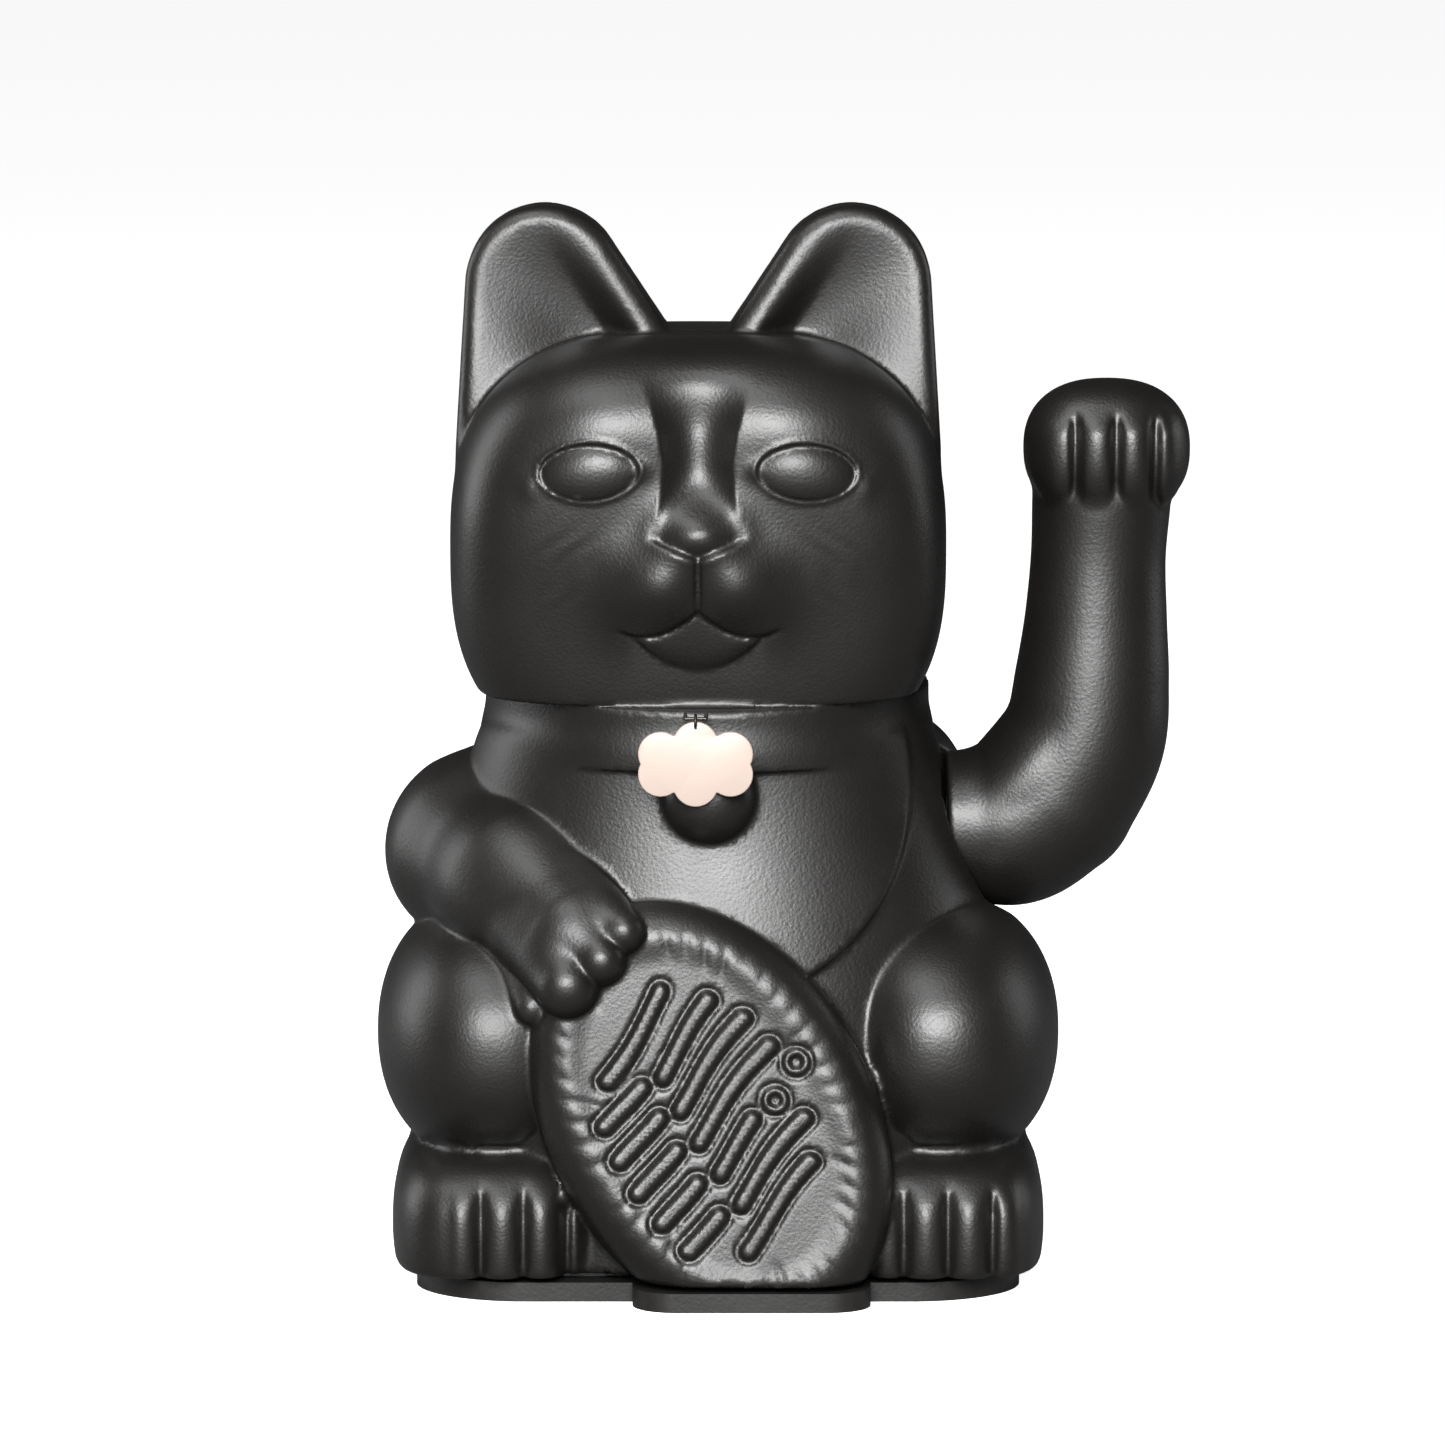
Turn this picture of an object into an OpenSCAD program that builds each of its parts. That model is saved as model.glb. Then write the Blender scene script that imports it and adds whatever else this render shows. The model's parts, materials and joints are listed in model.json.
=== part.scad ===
// Beckoning cat figurine: a hollow moulded cat whose raised arm rocks on a magnet pendulum.
// The cat faces -Y, Z is up, and the origin is the centre of the base plate's underside.

/* [Cat] */
// Width over the thighs
cat_w = 93; // [91:1:96]
// Height of the shoulder axle above the table
axle_h = 60; // [59:0.5:61]
// Wall thickness of the moulded shells
wall = 1.8; // [1.6:0.1:2.0]

/* [Head] */
// Width of the head
head_w = 67.6; // [66:0.2:70]
// Depth of the head
head_d = 64; // [60:1:66]
// Height of the head, down to the hidden neck
head_h = 59; // [58:0.5:60]
// Roundness of the head: radius of its corners
head_r = 24; // [22:0.5:26]

/* [Coin] */
// Width of the coin across its short axis
coin_w = 43.4; // [42:0.2:45]
// Length of the coin along its long axis
coin_l = 62; // [60:1:64]
// Tilt of the coin from upright
coin_tilt = 30; // [27:1:33]

/* [Raised arm] */
// Radius of the arm where it meets the shoulder
arm_r = 10.4; // [10.2:0.1:10.8]
// Distance of the forearm from the cat's middle
forearm_x = 52; // [51.5:0.5:54]
// Height of the paw's centre
paw_h = 111; // [108:1:113]

/* [Works] */
// Diameter of the axle
axle_d = 2; // [1.8:0.1:2.2]
// Length of the pendulum below the axle
pendulum_l = 36; // [33:1:37]
// Diameter of the drive coil
coil_d = 17; // [15:0.5:17.4]
// Thickness of the base plate
plate_t = 2.6; // [2.4:0.1:3]

/* [Hidden] */

$fn = 48;
round_fn = 32;          // spheres that are blended into the shells
inner_fn = 20;          // small spheres, and those inside the shells
small = 6;
seam = 0.05;            // half of the gap at a moulding seam
slip = 0.1;             // gap between pieces that are pushed together
big = 300;

shell_z = plate_t + 0.8;
plate_w = 82;
plate_d = 71;
thigh_w = 33.4;
thigh_x = cat_w / 2 - thigh_w / 2;
collar_z = 71;
collar_h = 8.5;
collar_x = -1.5;
head_x = -2.7;
head_z = 128.5 - head_h / 2;
ear_x = 22;
coin_lean = 9;          // the coin leans back by this angle
shoulder_x = 30.5;      // flat seat beside the raised arm
arm_gap = 0.9;
seat_r = 11.8;
arm_x = shoulder_x + arm_gap;
arm_wall = wall - 0.7;

lever_x = 15.5;
cheek_x = [5.5, 25.5];  // middles of the bracket's two cheeks
cheek_t = 2.4;
bracket_z = plate_t + 2;
post_at = [[-33.5, -19], [33.5, -19], [-33.5, 19], [33.5, 19]];
cell_d = 14.2;
cell_l = 50;
cell_x = -18;
cell_z = 4.2 + cell_d / 2;
tray_l = 56;
tray_y = -1.2;
door_w = 17;
door_t = 1.4;
lift = 0.3;             // the door lies this far above the table

function facets(r, shrink) = shrink > 0 || r < small ? inner_fn : round_fn;

module egg(at, half, shrink = 0) {
    translate(at)
        hull()
            scale([half[0] - shrink, half[1] - shrink, half[2] - shrink])
                sphere(r = 1, $fn = facets(half[2], shrink));
}

module blob(at, r, shrink = 0) {
    translate(at)
        sphere(r = r - shrink, $fn = facets(r, shrink));
}

// ---- the cat's outer form, shrunk by the wall for its inside ----

module head_form(shrink) {
    corner = [head_w / 2 - head_r, head_d / 2 - head_r, head_h / 2 - head_r];
    translate([head_x, 0, head_z])
        hull()
            for (sx = [-1, 1], sy = [-1, 1], sz = [-1, 1])
                blob([sx * corner[0], sy * corner[1], sz * corner[2]], head_r, shrink);
}

module face_form() {
    for (side = [-1, 1]) {
        egg([head_x + side * 5, -28.5, 95.5], [8, 6.4, 7]);
        egg([head_x + side * 15, -29, 112], [6.8, 3.6, 4.2]);
    }
    egg([head_x, -30, 104], [5, 6.4, 5]);
    egg([head_x, -27, 88], [8, 6.4, 4.5]);
}

module ear_form(side) {
    difference() {
        translate([head_x + side * ear_x, 5, 0])
            hull() {
                translate([0, 0, 134])
                    scale([11.2, 5.5, 11.2])
                        sphere(r = 1, $fn = round_fn);
                translate([-side * 5.5, 0, 118])
                    scale([17, 8.5, 10])
                        sphere(r = 1, $fn = round_fn);
            }
        // hollow of the ear
        egg([head_x + side * (ear_x - 2), -4.5, 131], [9.5, 8, 12]);
    }
}

module torso_form(shrink) {
    hull() {
        translate([-0.5, 0, 74])
            cylinder(r = 29.5 - shrink, h = 3);
        egg([0, 2, 20], [41, 36.5, 30], shrink);
    }
}

module collar_form(shrink) {
    translate([collar_x, 0, collar_z])
        cylinder(r = 30.6 - shrink, h = collar_h, $fn = 64);
    translate([collar_x, 0, collar_z + collar_h - 1])
        cylinder(r = 27.8 - shrink, h = 8);
}

module thigh_form(side, shrink) {
    egg([side * thigh_x, -8, 32], [thigh_w / 2, 29, 18.5], shrink);
}

module foot_form(side, shrink) {
    heel = 8.5;
    hull() {
        blob([side * 24, -29.5, 11.5], heel, shrink);
        blob([side * 36, -29, 11.5], heel, shrink);
        blob([side * 35.5, 14, 11.5], heel, shrink);
        blob([side * 24, -29.5, 4], heel, shrink);
        blob([side * 34.5, -27, 4], heel, shrink);
        blob([side * 34, 14, 4], heel, shrink);
    }
}

module back_form(shrink) {
    hull() {
        egg([0, 13, 26], [42, 25, 22], shrink);
        egg([0, 14, 4], [40, 24, 16], shrink);
        egg([0, 6, 58], [31, 26, 14], shrink);
    }
}

// small tail that lies round the back
module tail_form() {
    bends = [[22, 28, 9, 5], [7, 35.5, 12, 5], [-8, 35, 21, 4]];
    for (i = [0:1])
        hull()
            for (bend = [bends[i], bends[i + 1]])
                blob([bend[0], bend[1], bend[2]], bend[3]);
}

module folded_arm_form(shrink) {
    egg([-31, 0, 59], [14, 15, 13], shrink);
    hull() {
        blob([-32, -9, 57], 11.5, shrink);
        blob([-18.5, -32, 47], 8, shrink);
    }
}

module paw_form() {
    for (toe = [0:2])
        hull() {
            blob([-18 + toe * 3.2, -36 - toe, 49 - toe * 0.5], 4.4);
            blob([-15 + toe * 4, -39.5, 42.5 + toe * 2.5], 3.6);
        }
}

// tilted oval slab: each layer has an inset of its edge and a height of its front
module coin_form(shrink) {
    back = shrink > 0 ? 12 : 8;
    translate([-1, -37.2, 25.5])
        rotate([-coin_lean, 0, 0])
            rotate([0, -coin_tilt, 0])
                rotate([90, 0, 0])
                    translate([0, 0, -back])
                        hull()
                            for (layer = [[0, 2.4], [1.6, 4]])
                                scale([coin_w / 2 - layer[0] - shrink, coin_l / 2 - layer[0] - shrink, 1])
                                    cylinder(r = 1, h = back + layer[1] - shrink);
}

module bell_form() {
    egg([-1.2, -30, 67.5], [6.3, 5.2, 6.3]);
}

// hump of the shoulder behind the raised arm
module shoulder_form(shrink) {
    egg([25, 13, 60], [11, 11, 12.5], shrink);
}

// round seat in the shoulder, where the raised arm turns
module shoulder_seat(shrink) {
    translate([shoulder_x - shrink, 0, axle_h])
        rotate([0, 90, 0])
            cylinder(r = seat_r + shrink, h = 30);
}

module cat_outside() {
    difference() {
        union() {
            head_form(0);
            face_form();
            torso_form(0);
            collar_form(0);
            back_form(0);
            tail_form();
            folded_arm_form(0);
            paw_form();
            coin_form(0);
            bell_form();
            shoulder_form(0);
            for (side = [-1, 1]) {
                ear_form(side);
                thigh_form(side, 0);
                foot_form(side, 0);
            }
        }
        shoulder_seat(0);
    }
}

module cat_inside() {
    difference() {
        union() {
            head_form(wall);
            torso_form(wall);
            collar_form(wall + 1);
            back_form(wall);
            folded_arm_form(wall);
            coin_form(wall);
            shoulder_form(wall);
            works_room();
            for (side = [-1, 1]) {
                thigh_form(side, wall);
                foot_form(side, wall);
            }
        }
        shoulder_seat(wall);
        for (at = post_at)
            screw_post(at);
    }
}

// room above the base for the cell and the works
module works_room() {
    translate([0, -0.5, -1])
        linear_extrude(20)
            round_box(60, 62, 10);
    egg([0, -32, 20], [15, 7.5, 22], wall);
}

// boss that a base screw bites into, with a rib out to the wall
module screw_post(at) {
    side = at[0] > 0 ? 1 : -1;
    difference() {
        union() {
            translate([at[0], at[1], 0])
                cylinder(r = 3.2, h = 20, $fn = 24);
            translate([at[0] + side * 8, at[1], 10])
                cube([16, 1.6, 20], center = true);
        }
        translate([at[0], at[1], 0])
            cylinder(r = 1.3, h = 15, $fn = 24);
    }
}

module cat_shell() {
    difference() {
        cat_outside();
        cat_inside();
        translate([0, 0, shell_z - big / 2])
            cube(big, center = true);
        translate([20, 0, axle_h])
            rotate([0, 90, 0])
                cylinder(r = 3, h = 20, $fn = 24);
    }
}

module front_shell() {
    color("#3a3836")
        intersection() {
            cat_shell();
            translate([0, -big / 2 - seam, 0])
                cube(big, center = true);
        }
}

module rear_shell() {
    color("#3a3836")
        intersection() {
            cat_shell();
            translate([0, big / 2 + seam, 0])
                cube(big, center = true);
        }
}

// ---- base ----

module round_box(w, d, r) {
    square([w - 2 * r, d], center = true);
    square([w, d - 2 * r], center = true);
    for (sx = [-1, 1], sy = [-1, 1])
        translate([sx * (w / 2 - r), sy * (d / 2 - r)])
            circle(r = r);
}

module plate_outline() {
    round_box(plate_w, plate_d, 15);
    // tongue under the coin
    translate([4.5, -30])
        round_box(32, 28, 6);
}

module base_plate() {
    tray_wall = 1.2;
    tray_in = cell_d + 0.8;
    color("#1d1c1b")
        difference() {
            union() {
                linear_extrude(plate_t)
                    plate_outline();
                // upstand that centres the shells
                linear_extrude(plate_t + 3.4)
                    difference() {
                        round_box(59, 60, 9);
                        round_box(56.6, 57.6, 7.8);
                    }
                // tray for the cell
                translate([cell_x, tray_y, plate_t / 2 + 6])
                    cube([tray_in + 2 * tray_wall, tray_l + 2 * tray_wall, plate_t + 12], center = true);
                // pads under the bracket
                for (y = [-13, 13])
                    translate([lever_x, y, 0])
                        cylinder(r = 3.4, h = bracket_z);
            }
            translate([cell_x, tray_y, 10 + lift])
                cube([tray_in, tray_l, 20], center = true);
            // slot for the door, open at the back
            translate([cell_x - door_w / 2 - slip, door_front - slip, -1])
                cube([door_w + 2 * slip, big, 1 + lift + door_t + slip]);
            for (at = post_at)
                translate([at[0], at[1], -1]) {
                    cylinder(r = 1.4, h = 20);
                    cylinder(r = 2.7, h = 2.2);
                }
            for (at = post_at)
                translate([at[0], at[1], plate_t])
                    cylinder(r = 3.6, h = 20);
            for (y = [-13, 13])
                translate([lever_x, y, plate_t - 1.8])
                    cylinder(r = 1, h = 20);
        }
}

door_front = tray_y - tray_l / 2 - 1;

module battery_door() {
    door_l = plate_d / 2 - door_front;
    color("#1d1c1b")
        difference() {
            translate([cell_x - door_w / 2, door_front, lift])
                cube([door_w, door_l, door_t]);
            // finger grip
            for (row = [0:3])
                translate([cell_x, 20 + row * 2.4, lift])
                    rotate([0, 90, 0])
                        cylinder(r = 0.5, h = door_w - 6, center = true);
        }
}

module base_screws() {
    color("silver")
        for (at = post_at)
            translate([at[0], at[1], 0]) {
                difference() {
                    translate([0, 0, 0.4])
                        cylinder(r = 2.4, h = 0.8);
                    translate([0, 0, 0.6])
                        cube([3.2, 0.7, 1], center = true);
                    translate([0, 0, 0.6])
                        cube([0.7, 3.2, 1], center = true);
                }
                translate([0, 0, 1.2])
                    cylinder(r = 1.15, h = 10);
            }
}

// ---- raised arm ----

module arm_form(shrink) {
    // bends of the arm: sideways from the forearm, height above the axle, radius
    bends = [[-9.1, 0.8, 11], [-6, 4, 11.4], [-1.8, 12, 11.1], [-0.4, 25, 10], [0.4, 43, 9.4]];
    hull() {
        translate([arm_x + shrink, 0, axle_h])
            rotate([0, 90, 0])
                cylinder(r = arm_r - shrink, h = 2, $fn = round_fn);
        bend_ball(bends[0], shrink);
    }
    for (i = [0:3])
        hull() {
            bend_ball(bends[i], shrink);
            bend_ball(bends[i + 1], shrink);
        }
    egg([forearm_x + 1.2, -0.8, paw_h + 1], [11.4, 10, 9.6], shrink);
}

module bend_ball(bend, shrink) {
    blob([forearm_x + bend[0], 0, axle_h + bend[1]], bend[2], shrink);
}

module arm_shell() {
    difference() {
        union() {
            difference() {
                arm_form(0);
                arm_form(arm_wall);
            }
            // ring that grips the hub
            translate([arm_x + 12, 0, axle_h])
                rotate([0, 90, 0])
                    cylinder(r = 8.4, h = 1.6);
            for (z = [axle_h + 24, paw_h - 8])
                intersection() {
                    arm_form(0);
                    translate([forearm_x, 0, z])
                        cube([big, big, 1.4], center = true);
                }
        }
        translate([arm_x - 1, 0, axle_h])
            rotate([0, 90, 0])
                cylinder(r = 4 + slip, h = 15.2);
    }
}

module arm_toes() {
    for (toe = [-1.5:1:1.5]) {
        x = toe * 4.9;
        y = -8.6 * sqrt(1 - pow(x / 11.4, 2)) + 0.6;
        hull() {
            blob([forearm_x + 1.2 + x, y, paw_h + 2], 2.7);
            blob([forearm_x + 1.2 + x, y, paw_h - 3.5], 2.7);
        }
    }
}

module arm_front() {
    color("#3a3836")
        intersection() {
            union() {
                arm_shell();
                difference() {
                    arm_toes();
                    arm_form(arm_wall - 0.2);
                }
            }
            translate([0, -big / 2 - seam, 0])
                cube(big, center = true);
        }
}

module arm_rear() {
    color("#3a3836")
        intersection() {
            arm_shell();
            translate([0, big / 2 + seam, 0])
                cube(big, center = true);
        }
}

module along_x(x) {
    translate([x, 0, axle_h])
        rotate([0, 90, 0])
            children();
}

module arm_hub() {
    color("ivory")
        difference() {
            along_x(arm_x)
                cylinder(r = 4, h = 14);
            along_x(arm_x - 1)
                cylinder(d = axle_d, h = 13);
        }
}

module axle() {
    color("silver")
        along_x(cheek_x[0] - 5)
            cylinder(d = axle_d, h = arm_x + 12 - cheek_x[0] + 5);
}

module axle_clip() {
    color("dimgray")
        along_x(cheek_x[0] - 3.4)
            difference() {
                cylinder(r = axle_d / 2 + 1.6, h = 0.8);
                translate([0, 0, -1])
                    cylinder(d = axle_d, h = 3);
                translate([-0.7, 0, -1])
                    cube([1.4, 5, 3]);
            }
}

module axle_bushes() {
    color("goldenrod")
        for (x = cheek_x)
            difference() {
                union() {
                    along_x(x - cheek_t / 2)
                        cylinder(r = 2.4, h = cheek_t);
                    along_x(x - cheek_t / 2 - 0.7)
                        cylinder(r = 3.2, h = 0.7);
                }
                along_x(x - 5)
                    cylinder(d = axle_d + 0.1, h = 10);
            }
}

// ---- works ----

module cheek_outline() {
    polygon([[-15, bracket_z], [15, bracket_z], [15, bracket_z + 12], [6, axle_h - 4],
        [5, axle_h + 3], [-5, axle_h + 3], [-6, axle_h - 4], [-15, bracket_z + 12]]);
}

module bracket() {
    window_z = bracket_z + 20;
    color("white")
        difference() {
            union() {
                for (x = cheek_x)
                    translate([x + cheek_t / 2, 0, 0])
                        rotate([90, 0, -90])
                            linear_extrude(cheek_t)
                                cheek_outline();
                translate([cheek_x[0], -15, bracket_z])
                    cube([cheek_x[1] - cheek_x[0], 30, 1.8]);
            }
            along_x(0)
                cylinder(r = 2.4, h = 60);
            translate([lever_x, 0, window_z + 6])
                cube([60, 9, 14], center = true);
            for (y = [-13, 13])
                translate([lever_x, y, 0])
                    cylinder(r = 1.3, h = 20);
            // seat of the coil core
            translate([lever_x, 0, 0])
                cylinder(r = 2, h = 20);
        }
}

module bracket_screws() {
    color("silver")
        for (y = [-13, 13])
            translate([lever_x, y, bracket_z + 1.8]) {
                difference() {
                    cylinder(r = 2.2, h = 1.3);
                    translate([0, 0, 1.3])
                        cube([3, 0.6, 1.2], center = true);
                }
                translate([0, 0, -5])
                    cylinder(r = 0.9, h = 5);
            }
}

magnet_z = axle_h - pendulum_l;
weight_z = magnet_z + 11;
weight_r = 5.5;

module pendulum_lever() {
    color("ivory")
        difference() {
            union() {
                along_x(lever_x - 2)
                    cylinder(r = 4, h = 4);
                translate([lever_x - 1.5, -2.5, magnet_z + 3])
                    cube([3, 5, pendulum_l - 5]);
                // cup for the magnet
                translate([lever_x, 0, magnet_z - 1])
                    cylinder(r = 6.2, h = 5);
                // sleeve for the weight
                translate([lever_x, 0, weight_z])
                    rotate([0, 90, 0])
                        cylinder(r = weight_r + 1.2, h = 6, center = true);
            }
            along_x(0)
                cylinder(d = axle_d, h = 60);
            translate([lever_x, 0, magnet_z - 2])
                cylinder(r = 5, h = 4.5);
            translate([lever_x, 0, weight_z])
                rotate([0, 90, 0])
                    cylinder(r = weight_r, h = 8, center = true);
        }
}

module pendulum_magnet() {
    color("#777777")
        translate([lever_x, 0, magnet_z - 1.4])
            cylinder(r = 5 - slip / 2, h = 3.8);
}

module pendulum_weight() {
    color("#8a8a88")
        translate([lever_x, 0, weight_z])
            rotate([0, 90, 0])
                cylinder(r = weight_r - slip / 2, h = 15, center = true);
}

module coil_bobbin() {
    z = bracket_z + 1.8;
    color("ivory")
        difference() {
            union() {
                for (flange = [0, 7])
                    translate([lever_x, 0, z + flange])
                        cylinder(d = coil_d, h = 1);
                translate([lever_x, 0, z])
                    cylinder(r = 3.4, h = 8);
            }
            translate([lever_x, 0, z - 1])
                cylinder(r = 2.2, h = 10);
        }
}

module coil_winding() {
    z = bracket_z + 2.9;
    color("#b0602c")
        difference() {
            translate([lever_x, 0, z])
                cylinder(d = coil_d - 1.6, h = 5.8);
            translate([lever_x, 0, z - 1])
                cylinder(r = 3.5, h = 8);
        }
}

module coil_core() {
    color("#6f7173")
        translate([lever_x, 0, bracket_z])
            cylinder(r = 1.95, h = 9.4);
}

board_x = -6;
board_z = plate_t + 4.4;

module circuit_board() {
    color("darkgreen")
        difference() {
            translate([board_x - 0.8, -14, board_z])
                cube([1.6, 28, 18]);
            for (y = [-11, 11])
                translate([board_x, y, board_z + 15])
                    rotate([0, 90, 0])
                        cylinder(r = 1.1, h = 5, center = true);
        }
}

module board_transistor() {
    color("#161616")
        translate([board_x + 0.8 + slip, -5, board_z + 6])
            intersection() {
                cube([3.6, 4.6, 4.6]);
                translate([0, 2.3, 0])
                    cylinder(r = 3.4, h = 5);
            }
}

module board_capacitor() {
    color("#23336b")
        translate([board_x + 0.8 + slip + 2.7, 6, board_z + 4])
            cylinder(r = 2.6, h = 7);
}

module battery_cell() {
    color("#b4732f")
        translate([cell_x, tray_y - 1, cell_z])
            rotate([90, 0, 0]) {
                translate([0, 0, -cell_l / 2])
                    cylinder(d = cell_d, h = cell_l - 1.2);
                translate([0, 0, cell_l / 2 - 1.2])
                    cylinder(r = 2.7, h = 1.2);
            }
}

// cone of springy wire that presses on the cell's flat end
spring_turns = 3.5;
spring_steps = 42;
spring_y = tray_y + 24.5;
spring_l = 2.9;
wire_r = 0.35;
wire_sides = 6;

function spring_point(i, side) =
    let (
        t = i / spring_steps,
        a = 360 * spring_turns * t,
        coil_r = 5 - 2 * t,
        b = 360 * side / wire_sides,
        r = coil_r + wire_r * cos(b)
    )
    [cell_x + r * cos(a), spring_y + spring_l * (1 - t) + wire_r * sin(b), cell_z + r * sin(a)];

module contact_spring() {
    rings = spring_steps + 1;
    points = [for (i = [0:spring_steps], side = [0:wire_sides - 1]) spring_point(i, side)];
    skin = [for (i = [0:spring_steps - 1], side = [0:wire_sides - 1])
        let (next = (side + 1) % wire_sides)
        [(i + 1) * wire_sides + side, (i + 1) * wire_sides + next, i * wire_sides + next, i * wire_sides + side]];
    start_cap = [[for (side = [0:wire_sides - 1]) side]];
    end_cap = [[for (side = [wire_sides - 1:-1:0]) (rings - 1) * wire_sides + side]];
    color("silver")
        polyhedron(points, concat(skin, start_cap, end_cap));
}

module contact_plate() {
    color("silver") {
        translate([cell_x - 4, tray_y - tray_l / 2 + slip, cell_z - 5])
            cube([8, 0.5, 11]);
        translate([cell_x - 2, tray_y - tray_l / 2 + 0.5 + slip, cell_z - 2])
            cube([4, 1.3, 4]);
    }
}

// two insulated leads from the cell's contacts over the tray to the board
lead_r = 0.5;
lead_top = plate_t + 17.5;

module wire(points) {
    for (i = [0:len(points) - 2])
        hull()
            for (end = [points[i], points[i + 1]])
                translate(end)
                    sphere(r = lead_r, $fn = 10);
}

module battery_leads() {
    for (end = [-1, 1])
        color(end < 0 ? "firebrick" : "black")
            wire([[cell_x + 3, tray_y + end * 27.2, lead_top - 0.6], [cell_x + 4, end * 26.5, lead_top + 1.4],
                [cell_x + 6, end * 24, lead_top + 3], [board_x - 5, end * 16, lead_top + 3.4],
                [board_x - 1.6, end * 12, lead_top + 1.2]]);
}

// ---- collar charm ----

// the tag hangs from a ring on a staple in the collar
charm_at = [-3, -35.4, 73];
charm_t = 1;
lobe_r = 3;
hole_up = 4.8;
ring_r = 0.9;
ring_wire = 0.2;
staple_r = 0.25;
ring_z = charm_at[2] + hole_up + ring_r;
staple_z = ring_z + ring_r - ring_wire - staple_r - slip / 2;
charm_y = charm_at[1] - charm_t / 2;

module charm_outline() {
    square([8, 6], center = true);
    for (lobe = [0:5])
        translate([5.4 * cos(60 * lobe + 30), 2.7 * sin(60 * lobe + 30)])
            circle(r = lobe_r);
}

module charm_tag() {
    color("#f3dccb")
        translate(charm_at)
            rotate([90, 0, 0])
                linear_extrude(charm_t)
                    difference() {
                        charm_outline();
                        translate([0, hole_up])
                            circle(r = 0.5);
                    }
}

module charm_ring() {
    color("#2c2a28")
        translate([charm_at[0], charm_y, ring_z])
            rotate([0, 90, 0])
                rotate_extrude()
                    translate([ring_r, 0])
                        circle(r = ring_wire, $fn = 16);
}

module charm_staple() {
    half = 1.4;
    leg = -30.65 - charm_y;
    color("#2c2a28") {
        translate([charm_at[0] - half, charm_y, staple_z])
            rotate([0, 90, 0])
                cylinder(r = staple_r, h = 2 * half);
        for (side = [-1, 1])
            translate([charm_at[0] + side * half, charm_y, staple_z]) {
                sphere(r = staple_r);
                rotate([-90, 0, 0])
                    cylinder(r = staple_r, h = leg);
            }
    }
}

front_shell();
rear_shell();
base_plate();
battery_door();
arm_front();
arm_rear();
arm_hub();
axle();
axle_clip();
axle_bushes();
bracket();
bracket_screws();
pendulum_lever();
pendulum_magnet();
pendulum_weight();
coil_bobbin();
coil_winding();
coil_core();
circuit_board();
board_transistor();
board_capacitor();
battery_cell();
contact_spring();
contact_plate();
battery_leads();
base_screws();
charm_tag();
charm_ring();
charm_staple();
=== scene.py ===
# %% [markdown]
# # A beckoning cat, modelled like clay
#
# This lesson dresses a working assembly of a beckoning cat. The hidden works, the base and the battery
# door come from CAD and only get materials. The soft moulded skins of the cat and of its raised arm are
# modelled here: rough clay lumps are joined by a remesh, and every point is then pushed onto a smooth
# form that is written as a few short functions, the way a sculptor presses clay onto a template.

# %% Load the assembly
import math
import bmesh
import bpy
import numpy as np
from mathutils import Matrix, Vector
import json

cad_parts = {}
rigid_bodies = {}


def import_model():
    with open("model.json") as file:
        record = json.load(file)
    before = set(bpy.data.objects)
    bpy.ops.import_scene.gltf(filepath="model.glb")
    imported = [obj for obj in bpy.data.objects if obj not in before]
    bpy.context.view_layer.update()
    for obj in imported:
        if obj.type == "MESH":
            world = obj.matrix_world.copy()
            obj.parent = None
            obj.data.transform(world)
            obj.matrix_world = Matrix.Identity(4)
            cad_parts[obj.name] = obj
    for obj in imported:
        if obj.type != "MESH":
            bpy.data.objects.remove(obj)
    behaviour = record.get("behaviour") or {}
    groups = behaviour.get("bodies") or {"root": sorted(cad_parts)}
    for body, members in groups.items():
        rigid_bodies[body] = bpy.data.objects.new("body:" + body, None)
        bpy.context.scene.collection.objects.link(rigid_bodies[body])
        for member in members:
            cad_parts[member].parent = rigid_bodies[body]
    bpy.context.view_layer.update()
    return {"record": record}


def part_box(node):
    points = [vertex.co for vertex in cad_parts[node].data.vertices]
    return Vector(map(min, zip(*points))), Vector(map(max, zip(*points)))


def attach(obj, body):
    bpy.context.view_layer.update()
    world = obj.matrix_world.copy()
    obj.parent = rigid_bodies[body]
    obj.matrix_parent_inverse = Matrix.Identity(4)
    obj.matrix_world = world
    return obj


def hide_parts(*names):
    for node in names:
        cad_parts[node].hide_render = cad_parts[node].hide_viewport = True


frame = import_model()

# %% [markdown]
# The modelling is done in millimetres, because the details are a few tenths of a millimetre, and each
# piece is scaled to metres at the end. The axle's height, the start of the arm and the lower edge of the
# shells are read from the CAD nodes, so that the skins fit the works.

# %% Sizes shared by the skins
MM = 0.001


def box_mm(node):
    low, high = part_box(node)
    return np.array(low) / MM, np.array(high) / MM


shell_low = box_mm("front_shell")[0]
hub_low = box_mm("arm_hub")[0]
axle_low, axle_high = box_mm("axle")
tag_low, tag_high = box_mm("charm_tag")
SHELL_BOTTOM = shell_low[2]
AXLE_HEIGHT = (axle_low[2] + axle_high[2]) / 2
ARM_START = hub_low[0]
SEAT_X = ARM_START - 0.9
SEAT_R = 11.8
SEAM_GAP = 0.02
WALL = 1.6
ARM_WALL = 1.1
HEAD_X = -2.7
print("shell bottom", SHELL_BOTTOM, "axle height", AXLE_HEIGHT, "arm starts at", ARM_START)

# %% [markdown]
# A form is a function that is negative inside, zero on the surface and positive outside. Two forms are
# joined by taking the smaller value. A soft minimum rounds the crease between them, and its last value
# says how wide the rounding is, in millimetres.

# %% Small tools for forms


def blend_min(a, b, width):
    h = np.maximum(width - np.abs(a - b), 0) / width
    return np.minimum(a, b) - h * h * width / 4


def blend_max(a, b, width):
    return -blend_min(-a, -b, width)


def ramp(value):
    """Smooth step from 0 to 1."""
    t = np.clip(value, 0, 1)
    return t * t * (3 - 2 * t)


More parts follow.
